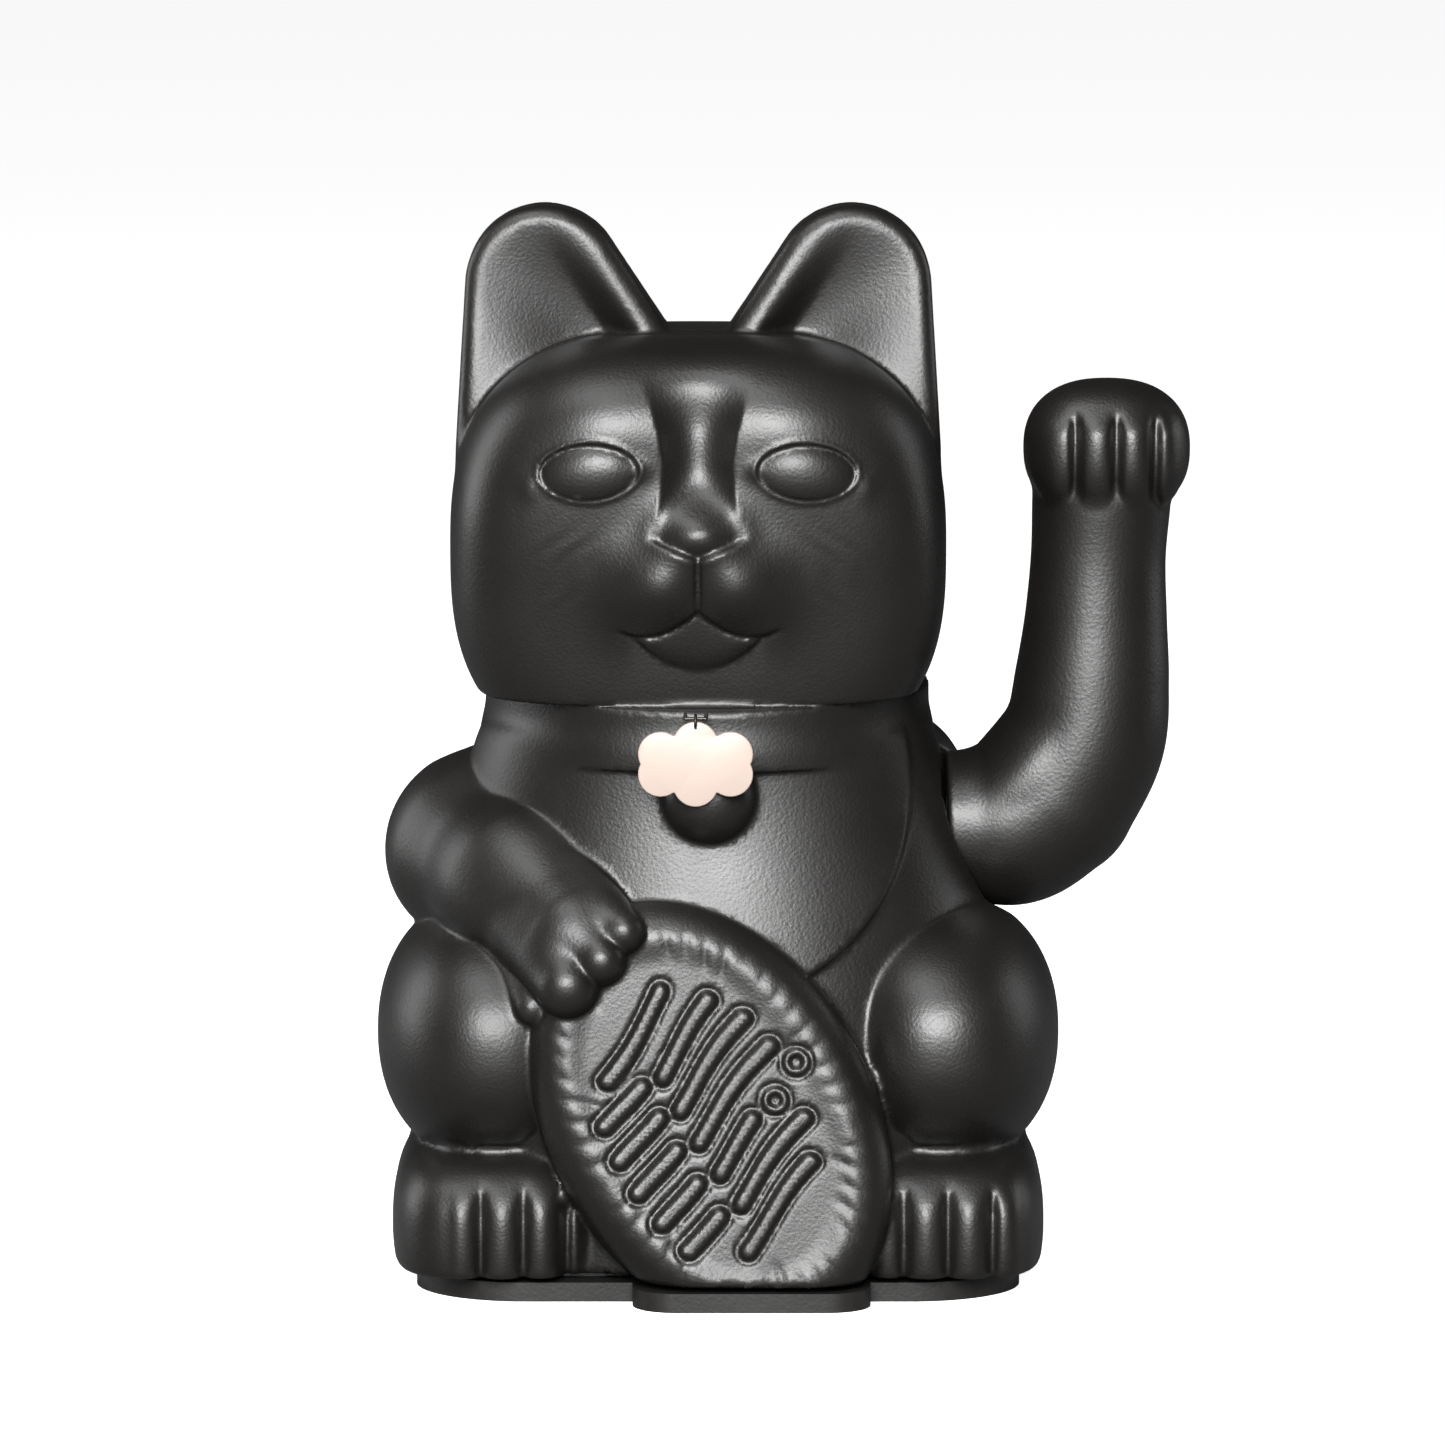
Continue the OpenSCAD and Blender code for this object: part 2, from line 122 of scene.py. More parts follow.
def egg(p, at, half, power=2.0):
    q = p - np.array(at)
    k = (np.abs(q / np.array(half)) ** power).sum(1) ** (1 / power)
    r = np.linalg.norm(q, axis=1)
    return r - r / np.maximum(k, 1e-6)


def limb(p, start, end, r_start, r_end):
    """A round limb between two points, thicker at one end."""
    a = np.array(start, float)
    run = np.array(end, float) - a
    t = np.clip((p - a) @ run / (run @ run), 0, 1)
    return np.linalg.norm(p - a - t[:, None] * run, axis=1) - (r_start + (r_end - r_start) * t)


def tube(p, knots, steps=12):
    """A limb through several knots (x, y, z, radius), drawn as a smooth curve."""
    knots = np.array(knots, float)
    ends = np.vstack([2 * knots[0] - knots[1], knots, 2 * knots[-1] - knots[-2]])
    line = [knots[0]]
    for a, b, c, d in zip(ends, ends[1:], ends[2:], ends[3:]):
        for step in range(1, steps + 1):
            t = step / steps
            line.append(0.5 * (2 * b + (c - a) * t + (2 * a - 5 * b + 4 * c - d) * t * t
                               + (3 * b - a - 3 * c + d) * t ** 3))
    return np.min([limb(p, m[:3], n[:3], m[3], n[3]) for m, n in zip(line, line[1:])], axis=0)


def stroke(u, v, start, end, r_start, r_end=None):
    """Flat version of a limb: the distance to a line drawn on a face."""
    r_end = r_start if r_end is None else r_end
    a = np.array(start, float)
    run = np.array(end, float) - a
    t = np.clip(((u - a[0]) * run[0] + (v - a[1]) * run[1]) / (run @ run), 0, 1)
    return np.hypot(u - a[0] - t * run[0], v - a[1] - t * run[1]) - (r_start + (r_end - r_start) * t)


def teardrop(u, v, base, r_base, tip, r_tip):
    """Distance to the outline of two circles and the straight lines that touch both."""
    axis = np.array(tip, float) - np.array(base, float)
    length = math.hypot(*axis)
    axis = axis / length
    du, dv = u - base[0], v - base[1]
    along = du * axis[0] + dv * axis[1]
    off = np.abs(-du * axis[1] + dv * axis[0])
    lean = (r_base - r_tip) / length
    run = math.sqrt(1 - lean * lean)
    k = -lean * off + run * along
    side = run * off + lean * along - r_base
    return np.where(k < 0, np.hypot(off, along) - r_base,
                    np.where(k > run * length, np.hypot(off, along - length) - r_tip, side))


def hill(u, v, at, half):
    """A soft hill: 1 at its middle and near 0 at twice its half sizes."""
    return np.exp(-((u - at[0]) / half[0]) ** 2 - ((v - at[1]) / half[1]) ** 2)


def line_bump(distance, width):
    """A ridge or groove along a line: 1 on the line, near 0 at twice the width."""
    return np.exp(-(distance / width) ** 2)


# %% [markdown]
# ## The head
#
# The head is a squarish ball. The face is not made of more balls: it is relief, written as how far the
# skin stands out at each place of the front, because an injection mould is cut in the same way, straight
# back from its parting line. u runs to the right from the nose and z is the height.

# %% Face relief
EYE_AT = (14.55, 111.80)


def eye_edge(u, z, side):
    """Distance outside an eye's edge (negative inside), and the place from middle (0) to edge (1)."""
    tilt = math.radians(3) * side
    du = u - side * EYE_AT[0]
    dz = z - EYE_AT[1]
    a = (du * math.cos(tilt) - dz * math.sin(tilt)) / 6.9
    b = (du * math.sin(tilt) + dz * math.cos(tilt)) / 4.05
    k = (np.abs(a) ** 1.9 + np.abs(b) ** 1.95) ** (1 / 1.92)
    r = np.hypot(du, dz)
    return r - r / np.maximum(k, 1e-6), k


def mouth_line(u):
    """Two shallow arcs that meet in a peak below the nose."""
    return 92.9 - 3.5 * np.sin(np.minimum(np.abs(u), 12) * math.pi / 14.8)


def lip_low(u):
    return 84.9 + 4.5 * (np.abs(u) / 8.8) ** 2.2


def nose_relief(u, z):
    """A trough between the eyes; the nose's tip stands up out of its lower end."""
    half = np.interp(z, [100, 102.8, 105, 109, 113, 117, 121, 125], [5.6, 6.1, 5.7, 5.0, 4.7, 5.3, 6.4, 8.0])
    t = np.minimum(np.abs(u) / half, 1)
    depth = 2.9 * ramp((126 - z) / 9) * ramp((z - 101) / 8)
    tip = 4.4 * hill(u, z, (0, 104.2), (5.1, 4.7))
    return tip - depth * (1 - t ** 2)


def muzzle_relief(u, z):
    puffs = 0.0
    for side in (-1, 1):
        puffs = np.maximum(puffs, 4.8 * hill(u, z, (side * 5.0, 95.8), (7.1, 6.4)))
    return puffs - 0.5 * line_bump(u, 0.4) * ramp((101 - z) / 1.2)


def lip_relief(u, z):
    top, low = mouth_line(u), lip_low(u)
    t = np.clip((top - z) / np.maximum(top - low, 0.6), 0, 1)
    return 1.5 * np.maximum(1 - t * t, 0) ** 0.6 * ramp((9.6 - np.abs(u)) / 3)


def face_relief(u, z):
    # the brows stand forward over the eyes
    out = 2.3 * (hill(u, z, (-13, 118.5), (11, 8.5)) + hill(u, z, (13, 118.5), (11, 8.5)))
    out += nose_relief(u, z)
    # the muzzle ends in the mouth line, with the lip below it
    above = ramp((z - mouth_line(u)) / 0.5 + 0.5)
    under_nose = ramp((z - 100.2 - 0.41 * np.abs(u)) / 0.9 + 0.5) * ramp((7.2 - np.abs(u)) / 2.4)
    below = (1 - above) * ramp((12 - np.abs(u)) / 4)
    out += muzzle_relief(u, z) * (1 - below) * (1 - 0.7 * under_nose)
    in_lip = (1 - above) * ramp((z - lip_low(u)) / 0.5 + 0.5) * ramp((9.9 - np.abs(u)) / 0.8)
    out += lip_relief(u, z) * in_lip
    out -= 0.4 * line_bump(z - mouth_line(u), 0.36) * ramp((11.6 - np.abs(u)) / 2)
    for side in (-1, 1):
        # an eye is a ball sunk inside a thin raised lid
        edge, k = eye_edge(u, z, side)
        ball = 2.2 * np.sqrt(np.maximum(1.03 - k * k, 0)) - 1.15
        out += ramp((-edge - 0.1) / 0.5) * (ball - 0.15 * (z - EYE_AT[1]))
        out += 0.26 * line_bump(edge - 0.1, 0.3)
        # small folds at the two corners of the eye
        out += 0.5 * hill(u, z, (side * 22.6, 109.6), (1.4, 1.8))
        out += 0.4 * hill(u, z, (side * 7.4, 112.2), (1.2, 1.3))
        # faint strokes of fur on the cheeks
        patch = hill(u, z, (side * 17.5, 100), (5, 6))
        out += 0.06 * patch * np.sin(1.9 * (u * side * 0.75 + z * 0.66) + 1.3 * np.sin(0.8 * z))
    return out


def ear_form(p, side):
    """A leaning shell with a rounded rim; it is deepest beside the inner rim, and stays before the seam."""
    x = (p[:, 0] - HEAD_X) * side
    y, z = p[:, 1], p[:, 2]
    outline = teardrop(x, z, (15.0, 112.0), 18.1, (21.0, 134.6), 10.8)
    from_inner = 67.1 + 0.836 * x - 0.549 * z
    deepest = 5.2 * ramp((147.5 - z) / 25)
    fall = np.exp(-(np.maximum(from_inner - 7, 0) / 9.5) ** 2)
    pocket = deepest * ramp((from_inner - 2.8) / 4.8) * fall
    front = -4.6 - 0.12 * (140 - z) + pocket
    back = 7.6 + 6.0 * ramp((140 - z) / 26)
    thick = np.maximum(front - y, y - back)
    round_r = 2.3
    a, b = outline + round_r, thick + round_r
    return np.hypot(np.maximum(a, 0), np.maximum(b, 0)) + np.minimum(np.maximum(a, b), 0) - round_r


def head_form(p):
    half_x, half_z = 33.8, 30.2
    y, z = p[:, 1], p[:, 2]
    # the face stands upright down to the muzzle, and the chin draws back
    deep = np.where(y < 0, 28.0 + 4.0 * np.exp(-(np.maximum(108 - z, 0) / 17) ** 2), 32.0)
    q = p - np.array([HEAD_X, 0, 99.0])
    frontal = (np.abs(q[:, 0] / half_x) ** 2.75 + np.abs(q[:, 2] / half_z) ** 2.75) ** (4.4 / 2.75)
    k = (frontal + np.abs(q[:, 1] / deep) ** 4.4) ** (1 / 4.4)
    r = np.linalg.norm(q, axis=1)
    d = r - r / np.maximum(k, 1e-6)
    d = blend_max(d, z - 128.9, 3)
    # the head is cut off flat where it stands on the collar
    d = blend_max(d, 80.5 + 0.03 * y - z, 0.5)
    facing = ramp((-y - 8) / 8)
    d = d - face_relief(q[:, 0], z) * facing
    for side in (-1, 1):
        d = blend_min(d, ear_form(p, side), 0.6)
    return d


# %% [markdown]
# ## The body
#
# Torso, thighs, feet, shoulders and the folded arm are eggs and limbs with narrow creases between them.
# The coin is a leaning oval slab with a bevelled edge, and its relief is worked out in its own flat
# coordinates. The raised pattern on it is a plain set of rounded bars.

# %% Body forms
COIN_AT = np.array([-1.0, -37.2, 25.5])
COIN_LEAN = math.radians(9)
COIN_TILT = math.radians(30)
COIN_HALF = (21.7, 31.0)
BARS = (
    ((-13.0, 5.5), (-6.0, 8.5)), ((-13.5, 0.5), (-6.0, 3.8)), ((-13.5, -4.5), (-6.2, -1.2)),
    ((-12.8, -9.5), (-6.0, -6.4)), ((-11.5, -14.3), (-5.6, -11.6)), ((-9.6, 11.0), (2.5, 17.5)),
    ((-2.8, 8.2), (7.5, 13.4)), ((-3.0, 3.2), (10.4, 9.4)), ((-3.0, -1.8), (11.6, 4.6)),
    ((-2.6, -6.8), (4.6, -3.6)), ((-2.2, -11.8), (10.8, -6.2)), ((-4.6, -17.6), (8.6, -12.0)),
)


def torso_form(p):
    x, y, z = p.T
    x = x + 1.5 * ramp((z - 46) / 30)
    wide = 29.7 + 11.3 * np.clip((76 - z) / 40, 1e-4, 1) ** 0.8
    deep = np.where(y < 0, 28.2 + 7.7 * ramp((76 - z) / 50), 29.0 + 8.6 * ramp((78 - z) / 48))
    k = (np.abs(x / wide) ** 2.2 + np.abs(y / deep) ** 2.2) ** (1 / 2.2)
    r = np.hypot(x, y)
    d = r - r / np.maximum(k, 1e-6)
    # the bib is a little raised inside a round edge
    bib = ramp((30.0 - np.hypot(x + 2.5, z - 70)) / 0.8 + 0.5)
    d = d - 1.1 * bib * ramp(-y / 8)
    return blend_max(d, z - 76, 2)


def collar_form(p):
    x, y, z = p.T
    middle, half = 75.8 + 0.016 * y, 4.5 + 0.011 * y
    level = (z - middle) / half
    bulge = 0.75 * ramp((0.5 - level) / 1.1)
    return blend_max(np.hypot(x + 1.5, y * 0.99) - 30.4 - bulge, (np.abs(level) - 1) * half, 0.4)


def foot_form(p, side):
    x = p[:, 0] * side
    y, z = p[:, 1], p[:, 2]
    # rounded block whose sole narrows a little
    q = np.stack([x - 30, y + 10, z - 6.5], 1)
    narrow = 0.02 * np.maximum(8 - z, 0) ** 2
    half = np.stack([14.4 - narrow, 28.2 - narrow, 13.6 + 0 * z], 1)
    k = (np.abs(q / half) ** 3.6).sum(1) ** (1 / 3.6)
    r = np.linalg.norm(q, axis=1)
    d = r - r / np.maximum(k, 1e-6)
    toe = ramp((17.0 - z) / 5.5) * ramp((-y - 26) / 5)
    centre, pitch = (30.9, 5.9) if side > 0 else (26.2, 5.7)
    for step in (-1, 0, 1):
        d = d + 1.15 * line_bump(x - centre - step * pitch, 0.75) * toe
    lumps = np.cos((x - centre) / pitch * 2 * math.pi)
    return d + 0.35 * lumps * toe * ramp((1.9 * pitch - np.abs(x - centre)) / 2)


def folded_arm_form(p):
    d = egg(p, (-31, 0, 57), (14.1, 15.5, 12.6), 2.1)
    d = blend_min(d, limb(p, (-22, 2, 66), (-31, 0, 58.5), 9.4, 12.2), 3)
    d = blend_min(d, limb(p, (-32, -6, 57.0), (-26.5, -20, 54.3), 12.2, 10.5), 5)
    d = blend_min(d, limb(p, (-27, -19, 54.6), (-19.0, -31.8, 48.6), 10.5, 8.3), 4)
    # four toes that rest on the coin
    toes = limb(p, (-18.6, -28.5, 55.2), (-12.7, -37.6, 50.6), 3.6, 2.9)
    toes = blend_min(toes, limb(p, (-22.0, -29.5, 51.8), (-15.6, -39.0, 46.9), 3.9, 3.2), 0.5)
    toes = blend_min(toes, limb(p, (-25.2, -29.8, 48.6), (-20.2, -38.6, 43.4), 4.7, 4.2), 0.5)
    toes = blend_min(toes, limb(p, (-27.0, -28.0, 45.9), (-24.9, -34.9, 39.9), 3.4, 2.4), 0.5)
    return blend_min(d, toes, 2.2)


def coin_axes(p):
    """Across the coin, along it and out of its face."""
    q = p - COIN_AT
    lean_c, lean_s = math.cos(COIN_LEAN), math.sin(COIN_LEAN)
    up = q[:, 2] * lean_c + q[:, 1] * lean_s
    out = -q[:, 1] * lean_c + q[:, 2] * lean_s
    tilt_c, tilt_s = math.cos(COIN_TILT), math.sin(COIN_TILT)
    across = q[:, 0] * tilt_c + up * tilt_s
    along = -q[:, 0] * tilt_s + up * tilt_c
    return across, along, out


def bar_relief(across, along):
    """Rounded bars that stand up out of a thin groove, and two small rings."""
    sd = np.full_like(across, 9.0)
    for start, end in BARS:
        bend = along - 0.5 * np.sin(across / 3.2)
        sd = np.minimum(sd, stroke(across, bend, start, end, 1.15))
    for at in ((8.6, -2.4), (13.6, 0.6)):
        sd = np.minimum(sd, np.abs(np.hypot(across - at[0], along - at[1]) - 1.3) - 0.45)
    return 0.62 * ramp((0.15 - sd) / 0.7) - 0.42 * line_bump(sd - 0.42, 0.3)


def coin_form(p):
    across, along, out = coin_axes(p)
    k = np.sqrt((across / COIN_HALF[0]) ** 2 + (along / COIN_HALF[1]) ** 2)
    r = np.hypot(across, along)
    edge = r - r / np.maximum(k, 1e-6)
    turn = np.arctan2(along / COIN_HALF[1], across / COIN_HALF[0])
    # soft hammered strokes from the rim inwards, of uneven length
    wave = np.sin(turn * 50 + 1.1 * np.sin(3 * turn) + 0.16 * edge)
    reach = 6.4 + 1.7 * np.sin(turn * 7 + 1) + 1.1 * np.sin(turn * 17)
    strokes = 0.22 * (0.5 + 0.5 * wave) ** 2.2 * ramp((reach + 1.5 + edge) / 2.6) * ramp((-edge - 2.6) / 1.4)
    dish = 0.45 * ramp((-edge - 5) / 4)
    face = 4.0 - dish - strokes + bar_relief(across, along)
    slab = blend_max(edge, out - face, 1.0)
    slab = blend_max(slab, 0.69 * edge + 0.72 * (out - 0.6), 1.6)
    return np.maximum(slab, -out - 9)


def cat_form(p):
    x, y, z = p.T
    d = torso_form(p)
    d = blend_min(d, egg(p, (0, 12, 22), (42.5, 25.5, 27), 2.2), 6)
    d = blend_min(d, egg(p, (24.5, 12.5, 61.5), (10.5, 11.5, 13)), 2)
    for side in (-1, 1):
        d = blend_min(d, foot_form(p, side), 1.4)
        d = blend_min(d, egg(p, (side * 30.1, -8, 33.2), (16.5, 28.6, 18.4), 2.2), 0.7)
    d = blend_min(d, folded_arm_form(p), 0.7)
    d = blend_min(d, coin_form(p), 0.6)
    d = blend_min(d, egg(p, (-1.2, -29.3, 67.6), (6.3, 5.6, 6.3)), 0.6)
    # small tail that lies round the back
    tail = tube(p, [(26, 24, 9, 5), (17, 32, 9.5, 5), (7, 36, 12, 5), (-4, 36.8, 17, 4.4),
                    (-9, 35.4, 22, 3.6)])
    d = blend_min(d, tail, 0.9)
    d = blend_min(d, collar_form(p), 0.5)
    d = blend_min(d, head_form(p), 0.3)
    # seat where the raised arm turns
    seat = np.maximum(np.hypot(y, z - AXLE_HEIGHT) - SEAT_R, SEAT_X - x)
    d = blend_max(d, -seat, 0.6)
    # softened lower edge
    return blend_max(d, SHELL_BOTTOM - 0.05 - z, 0.9)


# %% [markdown]
# ## Clay to skin
#
# The rough clay is a heap of balls, joined into one closed skin by a voxel remesh. `settle` then moves
# each point along the slope of the form until it lies on the form's surface. The skin is remeshed again
# in finer steps, because an even skin that is already close to the form settles without folding. Edges
# are split only where the skin bends or where small relief lies, so flat stretches stay light and creases
# stay crisp.

# %% Sculpting tools


def slope(form, p, step=0.03):
    base = form(p)
    grad = np.empty_like(p)
    for axis in range(3):
        moved = p.copy()
        moved[:, axis] += step
        grad[:, axis] = (form(moved) - base) / step
    return base, grad


def settle(form, p, rounds, reach=0.8):
    for _ in range(rounds):
        value, grad = slope(form, p)
        size = np.maximum((grad ** 2).sum(1), 0.09)
        move = -value[:, None] * grad / size[:, None]
        length = np.linalg.norm(move, axis=1)
        p = p + move * np.minimum(1, reach / np.maximum(length, 1e-9))[:, None]
    return p


def points_of(bm):
    return np.array([v.co[:] for v in bm.verts])


def set_points(bm, points):
    for vert, co in zip(bm.verts, points):
        vert.co = co


def remeshed(bm, voxel):
    """Rebuild a skin as an even net of small squares."""
    mesh = bpy.data.meshes.new("work")
    bm.to_mesh(mesh)
    bm.free()
    work = bpy.data.objects.new("work", mesh)
    bpy.context.scene.collection.objects.link(work)
    remesh = work.modifiers.new("net", "REMESH")
    remesh.mode = "VOXEL"
    remesh.voxel_size = voxel
    done = work.evaluated_get(bpy.context.evaluated_depsgraph_get())
    bm = bmesh.new()
    bm.from_mesh(done.to_mesh())
    done.to_mesh_clear()
    bpy.data.objects.remove(work)
    bpy.data.meshes.remove(mesh)
    return bm


def clay(lumps):
    """A heap of balls, each given as a middle and three half sizes."""
    bm = bmesh.new()
    for at, half in lumps:
        bmesh.ops.create_icosphere(bm, subdivisions=4, radius=1.0,
                                   matrix=Matrix.Translation(at) @ Matrix.Diagonal((*half, 1.0)))
    return bm


def smooth(bm, verts, factor):
    bmesh.ops.smooth_vert(bm, verts=verts, factor=factor, use_axis_x=True, use_axis_y=True, use_axis_z=True)


def even_out(bm, form, rounds, factor):
    """Slide the points apart along the skin, and settle them again."""
    for _ in range(rounds):
        smooth(bm, bm.verts, factor)
        set_points(bm, settle(form, points_of(bm), 2))


def untangle(bm, form, rounds):
    """Smooth only where a face leans away from the form's own slope."""
    for _ in range(rounds):
        bm.normal_update()
        bm.verts.index_update()
        middles = np.array([f.calc_center_median()[:] for f in bm.faces])
        normals = np.array([f.normal[:] for f in bm.faces])
        _, grad = slope(form, middles)
        agree = (grad * normals).sum(1) / np.maximum(np.linalg.norm(grad, axis=1), 1e-6)
        folded = [f for f, good in zip(bm.faces, agree > 0.45) if not good]
        verts = {v for f in folded for v in f.verts}
        verts |= {e.other_vert(v) for v in list(verts) for e in v.link_edges}
        if not verts:
            break
        verts = list(verts)
        for _ in range(2):
            smooth(bm, verts, 0.6)
        moved = settle(form, np.array([v.co[:] for v in verts]), 3, 0.4)
        for vert, co in zip(verts, moved):
            vert.co = co
    return len(folded)


def refine(bm, form, wanted, bend, shortest):
    """Split edges longer than wanted(points), or that bend more than so many degrees."""
    bm.verts.index_update()
    points = points_of(bm)
    _, grad = slope(form, points)
    normal = grad / np.maximum(np.linalg.norm(grad, axis=1), 1e-9)[:, None]
    edges = list(bm.edges)
    ends = np.array([[e.verts[0].index, e.verts[1].index] for e in edges])
    a, b = points[ends[:, 0]], points[ends[:, 1]]
    length = np.linalg.norm(a - b, axis=1)
    turned = (normal[ends[:, 0]] * normal[ends[:, 1]]).sum(1) < math.cos(math.radians(bend))
    split = (length > wanted((a + b) / 2)) | (turned & (length > shortest))
    chosen = [e for e, s in zip(edges, split) if s]
    bmesh.ops.subdivide_edges(bm, edges=chosen, cuts=1, use_grid_fill=True)
    bmesh.ops.triangulate(bm, faces=[f for f in bm.faces if len(f.verts) > 4])


def sculpt(name, lumps, form, nets, passes):
    """Press clay onto a form through finer and finer nets, then refine it where passes ask."""
    bm = clay(lumps)
    for voxel in nets:
        bm = remeshed(bm, voxel)
        set_points(bm, settle(form, points_of(bm), 6))
    even_out(bm, form, 3, 0.5)
    left = untangle(bm, form, 4)
    for wanted, bend, shortest in passes:
        refine(bm, form, wanted, bend, shortest)
        even_out(bm, form, 2, 0.4)
        left = untangle(bm, form, 4)
    bmesh.ops.recalc_face_normals(bm, faces=bm.faces)
    print(name, "points", len(bm.verts), "faces", len(bm.faces), "still folded", left)
    return bm


def keep_side(bm, at, direction):
    """Cut with a plane and keep what lies along direction."""
    part = bm.copy()
    geom = list(part.verts) + list(part.edges) + list(part.faces)
    bmesh.ops.bisect_plane(part, geom=geom, dist=1e-4, plane_co=at, plane_no=direction, clear_inner=True)
    return part


def add_piece(name, bm, wall=0.0):
    """Scale a finished skin to metres and put it in the scene, with a wall turned inwards."""
    bmesh.ops.scale(bm, vec=(MM, MM, MM), verts=bm.verts)
    for face in bm.faces:
        face.smooth = True
    print(name, "triangles", sum(len(f.verts) - 2 for f in bm.faces) * (2 if wall else 1))
    mesh = bpy.data.meshes.new(name)
    bm.to_mesh(mesh)
    bm.free()
    piece = bpy.data.objects.new(name, mesh)
    bpy.context.scene.collection.objects.link(piece)
    if wall:
        solid = piece.modifiers.new("wall", "SOLIDIFY")
        solid.thickness = wall * MM
        solid.offset = -1
        solid.use_even_offset = False
    return piece


# %% [markdown]
# ## The cat's shells
#
# The lumps of clay only have to be roughly right. After the sculpt, the skin is cut at the moulding
# seam, which lies in the plane of the axle, and each half gets a wall.

# %% Sculpt the cat
cat_lumps = [
    ((HEAD_X, 0, 99), (33, 32, 30)),
    ((HEAD_X - 8, 0, 105), (24, 24, 23)), ((HEAD_X + 8, 0, 105), (24, 24, 23)),
    ((HEAD_X - 8, 0, 96), (24, 24, 20)), ((HEAD_X + 8, 0, 96), (24, 24, 20)),
    ((-22 + HEAD_X, 2, 133), (11, 5, 12)), ((22 + HEAD_X, 2, 133), (11, 5, 12)),
    ((-18 + HEAD_X, 3, 122), (15, 8, 13)), ((18 + HEAD_X, 3, 122), (15, 8, 13)),
    ((-1, 0, 72), (30, 30, 9)), ((0, 0, 55), (34, 32, 26)),
    ((0, 1, 28), (41, 36, 30)), ((0, 5, 10), (40, 33, 10)),
    ((0, 13, 22), (42, 25, 24)),
    ((-30, -8, 33), (16.5, 28, 18)), ((30, -8, 33), (16.5, 28, 18)),
    ((-30, -15, 9), (14, 23, 10)), ((30, -15, 9), (14, 23, 10)),
    ((-31, 0, 57), (14, 15, 12)), ((-28, -17, 55), (11, 12, 11)), ((-20, -32, 49), (9, 8, 8)),
    ((1, -37, 21), (19, 6, 20)), ((-7, -34, 36), (15, 5, 17)), ((8, -38, 14), (15, 5, 13)),
    ((-1, -29, 67), (6, 5, 6)), ((24, 12, 61), (10, 11, 12)), ((10, 32, 12), (14, 7, 6)),
]


def near_detail(m):
    """Wanted edge length: fine on the face, the coin, the paw, the toes and the collar's edge."""
    x, y, z = m.T
    u = x - HEAD_X
    front = y < -14
    face = front & (np.hypot(u / 24, (z - 104) / 21) < 1)
    across, along, out = coin_axes(m)
    coin = (np.hypot(across / 19, along / 27) < 1) & (out > 2) & (z > 3.2)
    paw = front & (np.hypot(x + 20, z - 48) < 12) & (y < -27)
    toes = (z < 17) & (y < -30)
    band = (np.abs(z - 80.3 - 0.027 * y) < 1) & (np.hypot(x + 1.5, y) > 28.5) & (y < 0)
    return np.where(face | coin | paw | toes | band, 0.82, 1.8)


def near_lines(m):
    """The thinnest lines: the lids, the mouth and the outlines on the coin."""
    u, z = m[:, 0] - HEAD_X, m[:, 2]
    fine = (np.abs(u) < 10.5) & (np.abs(z - mouth_line(u)) < 0.7)
    fine |= (np.abs(u) < 0.9) & (z > 92) & (z < 101)
    for side in (-1, 1):
        fine |= np.abs(eye_edge(u, z, side)[0] + 0.1) < 0.6
    fine &= m[:, 1] < -14
    across, along, out = coin_axes(m)
    height = bar_relief(across, along)
    fine |= (height < -0.12) & (out > 2)
    return np.where(fine, 0.42, 1.8)


nets = ((2.0, 1.5, 1.1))
passes = [(near_detail, 22, 0.95), (near_lines, 26, 0.5)]
cat_bm = sculpt("clay_cat", cat_lumps, cat_form, nets, passes)
cat_bm = keep_side(cat_bm, (0, 0, SHELL_BOTTOM + 0.02), (0, 0, 1))
front_bm = keep_side(cat_bm, (0, -SEAM_GAP, 0), (0, -1, 0))
rear_bm = keep_side(cat_bm, (0, SEAM_GAP, 0), (0, 1, 0))
cat_bm.free()
cat_front = add_piece("cat_front", front_bm, WALL)
cat_rear = add_piece("cat_rear", rear_bm, WALL)

# %% [markdown]
# ## The raised arm
#
# The arm is one bent limb with a fist whose four toes curl over the palm. It is cut at the same seam as
# the cat, so that its two halves close round the hub.

# %% Sculpt the arm


def arm_form(p):
    x, y, z = p.T
    upper = tube(p, [(ARM_START - 4, 0, AXLE_HEIGHT, 10.3), (36, 0, AXLE_HEIGHT, 10.5),
                     (41, 0, AXLE_HEIGHT + 0.4, 11.3), (46, 0, AXLE_HEIGHT + 4, 11.5)])
    fore = tube(p, [(46, 0, AXLE_HEIGHT + 4, 11.5), (50.2, 0, 72, 11.2), (51.3, 0, 80, 10.6),
                    (51.8, 0, 88, 9.8), (52.1, 0, 97, 9.25), (52.5, 0, 105, 9.5)])
    inner = 0.7 * (z - 63.9) - 0.7 * (x - 45.9)
    d = blend_min(upper, fore, 0.1 + 3.4 * ramp((inner - 2) / 6))
    paw = egg(p, (53.15, -0.6, 112.2), (11.4, 10.2, 9.5), 2.35)
    knuckle = ramp((118.5 - z) / 4) * ramp((z - 103) / 2) * ramp((-y - 3) / 3)
    for groove in (48.6, 54.1, 59.4):
        paw = paw + 1.1 * line_bump(x - groove, 0.75) * knuckle
    for toe, half in ((45.4, 2.6), (51.4, 2.2), (56.8, 2.1), (61.6, 1.9)):
        paw = paw - 0.75 * line_bump(x - toe, half) * knuckle
    d = blend_min(d, paw, 0.9)
    return blend_max(d, ARM_START - x, 0.8)


